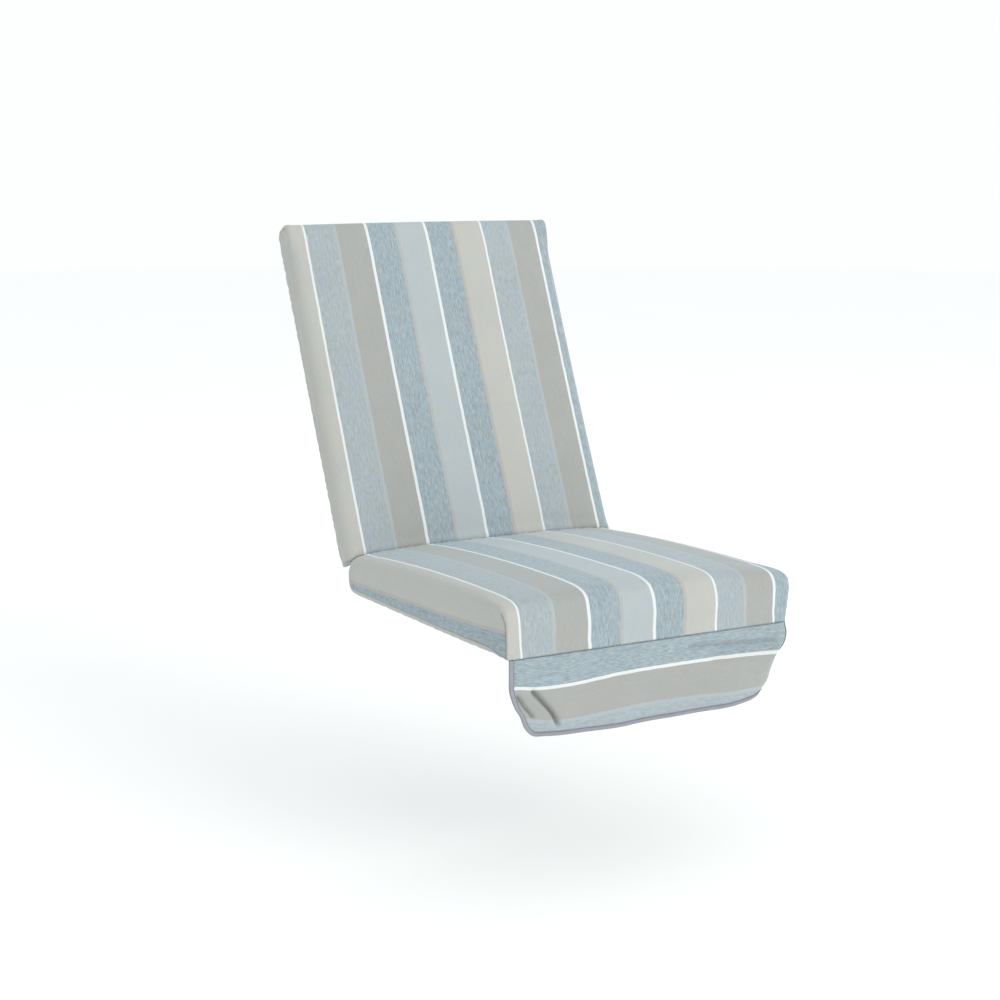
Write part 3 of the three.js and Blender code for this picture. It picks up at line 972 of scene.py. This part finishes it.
def cloth_places(tree):
    """The two places on the cloth that the mesh was given."""
    uv = add_node(tree, "ShaderNodeUVMap", uv_map="cloth").outputs[0]
    split = add_node(tree, "ShaderNodeSeparateXYZ", {0: uv})
    return split.outputs[0], split.outputs[1]


def striped_cloth_material():
    """Woven outdoor cloth: stripes by the place across, mottled yarns, a fine plain weave, and
    painted shade along the seams and in the creases.
    """
    material, tree, shader = new_material("striped_cloth", CLOTH_SURFACE)
    across, along = cloth_places(tree)

    sway = noise(tree, across, along, SWAY_NOISE)
    swayed = maths(tree, "MULTIPLY_ADD", sway, SWAY_REACH * MM, across)
    beyond = maths(tree, "SUBTRACT", swayed, FIRST_WHITE * MM)
    turns = maths(tree, "DIVIDE", beyond, STRIPE_REPEAT * MM)
    place = maths(tree, "FLOORED_MODULO", turns, 1.0)
    colour = stripe_ramp(tree, place, lambda name: YARN_COLOURS[name][0])
    mottle = stripe_ramp(tree, place, lambda name: (YARN_COLOURS[name][1],) * 3)

    yarns = [(noise(tree, across, along, setting), weight) for setting, weight in YARN_NOISES]
    level = 0.0
    for yarn, weight in yarns:
        level = maths(tree, "MULTIPLY_ADD", yarn, weight, level)
    cloud = noise(tree, across, along, DRIFT_NOISE)
    drift = maths(tree, "MULTIPLY_ADD", cloud, DRIFT_STRENGTH, 1.0)
    gain = maths(tree, "MULTIPLY_ADD", level, mottle, drift)
    colour = scaled(tree, colour, gain)
    patch = noise(tree, across, along, TINT_NOISE)
    coolness = maths(tree, "MULTIPLY_ADD", patch, TINT_CONTRAST, 0.5)
    tint = mixed(tree, coolness, opaque(WARM_TINT), opaque(COOL_TINT))
    colour = mixed(tree, 1.0, colour, tint, "MULTIPLY")

    # Painted shade: a darker line along the seams for their stitching and the shade in their
    # recess, and darker cloth in the valance's creases.
    shade = line_shade(tree, attribute(tree, "seam"), SEAM_STITCH_AND_SHADE)
    shade = maths(tree, "SUBTRACT", shade, attribute(tree, "crease"))
    tree.links.new(scaled(tree, colour, shade), shader.inputs["Base Color"])
    streaks = yarns[0][0]
    bump = weave_bump(tree, across, along, streaks, CLOTH_PITCH)
    tree.links.new(bump, shader.inputs["Normal"])
    return material


def weave_bump(tree, across, along, yarn, pitch):
    """A plain weave: threads that pass over and under each other, each a little uneven."""
    step = 2 * math.pi / (pitch * MM)
    warp = maths(tree, "SINE", maths(tree, "MULTIPLY", across, step))
    weft = maths(tree, "SINE", maths(tree, "MULTIPLY", along, step))
    threads = maths(tree, "MULTIPLY", warp, weft)
    height = maths(tree, "MULTIPLY_ADD", threads, THREAD_WEIGHT, yarn)
    inputs = {"Height": height, "Distance": WEAVE_HEIGHT * MM, "Strength": WEAVE_STRENGTH}
    return add_node(tree, "ShaderNodeBump", inputs).outputs[0]


def tape_material():
    """Lavender-grey woven tape with uneven yarns and a darker stitched inner edge."""
    material, tree, shader = new_material("binding_tape", TAPE_SURFACE)
    along, across = cloth_places(tree)
    cloud = noise(tree, across, along, TAPE_NOISE)
    strength, pale_share = TAPE_CONTRAST
    share = maths(tree, "MULTIPLY_ADD", cloud, strength, pale_share)
    colour = mixed(tree, share, opaque(TAPE_DARK_YARN), opaque(TAPE_PALE_YARN))
    shade = line_shade(tree, across, TAPE_EDGE_LINE)
    tree.links.new(scaled(tree, colour, shade), shader.inputs["Base Color"])
    bump = weave_bump(tree, across, along, cloud, TAPE_PITCH)
    tree.links.new(bump, shader.inputs["Normal"])
    return material


def floor_material():
    """A pale floor with a slight unevenness in its tone."""
    material, tree, shader = new_material("pale_floor", FLOOR_SURFACE)
    place = add_node(tree, "ShaderNodeTexCoord").outputs["Object"]
    cloud = add_node(tree, "ShaderNodeTexNoise", {"Vector": place, **FLOOR_NOISE}).outputs[0]
    crease_shade, paler = FLOOR_TONES
    colour = mixed(tree, cloud, opaque(crease_shade), opaque(paler))
    tree.links.new(colour, shader.inputs["Base Color"])
    return material


def make_floor():
    work = bmesh.new()
    size = {"radius": FLOOR_RADIUS, "segments": FLOOR_SEGMENTS}
    bmesh.ops.create_circle(work, cap_ends=True, **size)
    mesh = bpy.data.meshes.new("floor")
    work.to_mesh(mesh)
    work.free()
    floor = bpy.data.objects.new("floor", mesh)
    floor.location.z = FLOOR_HEIGHT
    bpy.context.scene.collection.objects.link(floor)
    mesh.materials.append(floor_material())


def make_camera():
    forward, right = Vector(CAMERA_FORWARD), Vector(CAMERA_RIGHT)
    up = right.cross(forward)
    data = bpy.data.cameras.new("camera")
    data.sensor_width = SENSOR_WIDTH
    data.lens = CAMERA_FOCAL_SHARE * SENSOR_WIDTH
    data.clip_start, data.clip_end = CLIP_RANGE
    camera = bpy.data.objects.new("camera", data)
    axes = Matrix((right, up, -forward)).transposed()
    camera.matrix_world = Matrix.Translation(CAMERA_PLACE) @ axes.to_4x4()
    bpy.context.scene.collection.objects.link(camera)
    bpy.context.scene.camera = camera


def make_key_light():
    """A large soft light, in front and to the right, that faces the cushion."""
    data = bpy.data.lights.new("key", "AREA")
    data.shape = "DISK"
    data.size = KEY_SIZE
    data.energy = KEY_POWER
    data.color = KEY_COLOUR
    light = bpy.data.objects.new("key", data)
    light.location = KEY_PLACE
    aim = Vector(KEY_AIM) - light.location
    light.rotation_mode = "QUATERNION"
    light.rotation_quaternion = aim.to_track_quat("-Z", "Y")
    bpy.context.scene.collection.objects.link(light)


def make_sky():
    """Even, nearly white light from all around, and colours shown as they are."""
    world = bpy.data.worlds.new("studio")
    world.use_nodes = True
    background = world.node_tree.nodes["Background"]
    background.inputs["Color"].default_value = opaque(SKY_COLOUR)
    background.inputs["Strength"].default_value = SKY_STRENGTH
    bpy.context.scene.world = world
    bpy.context.scene.view_settings.view_transform = "Standard"


def place_piece(piece, material, node):
    piece.data.materials.append(material)
    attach(piece, BODY)
    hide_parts(node)


make_camera()
make_sky()
make_key_light()
make_floor()

striped = striped_cloth_material()
tape = tape_material()

seat = pad("seat_cushion", seat_section, seat_place, turned=False)
back = pad("back_cushion", back_section, back_place, turned=True)
hanging = valance()
bound = binding()

place_piece(seat, striped, "seat_pad")
place_piece(back, striped, "back_pad")
place_piece(hanging, striped, "valance")
place_piece(bound, tape, "valance_binding")
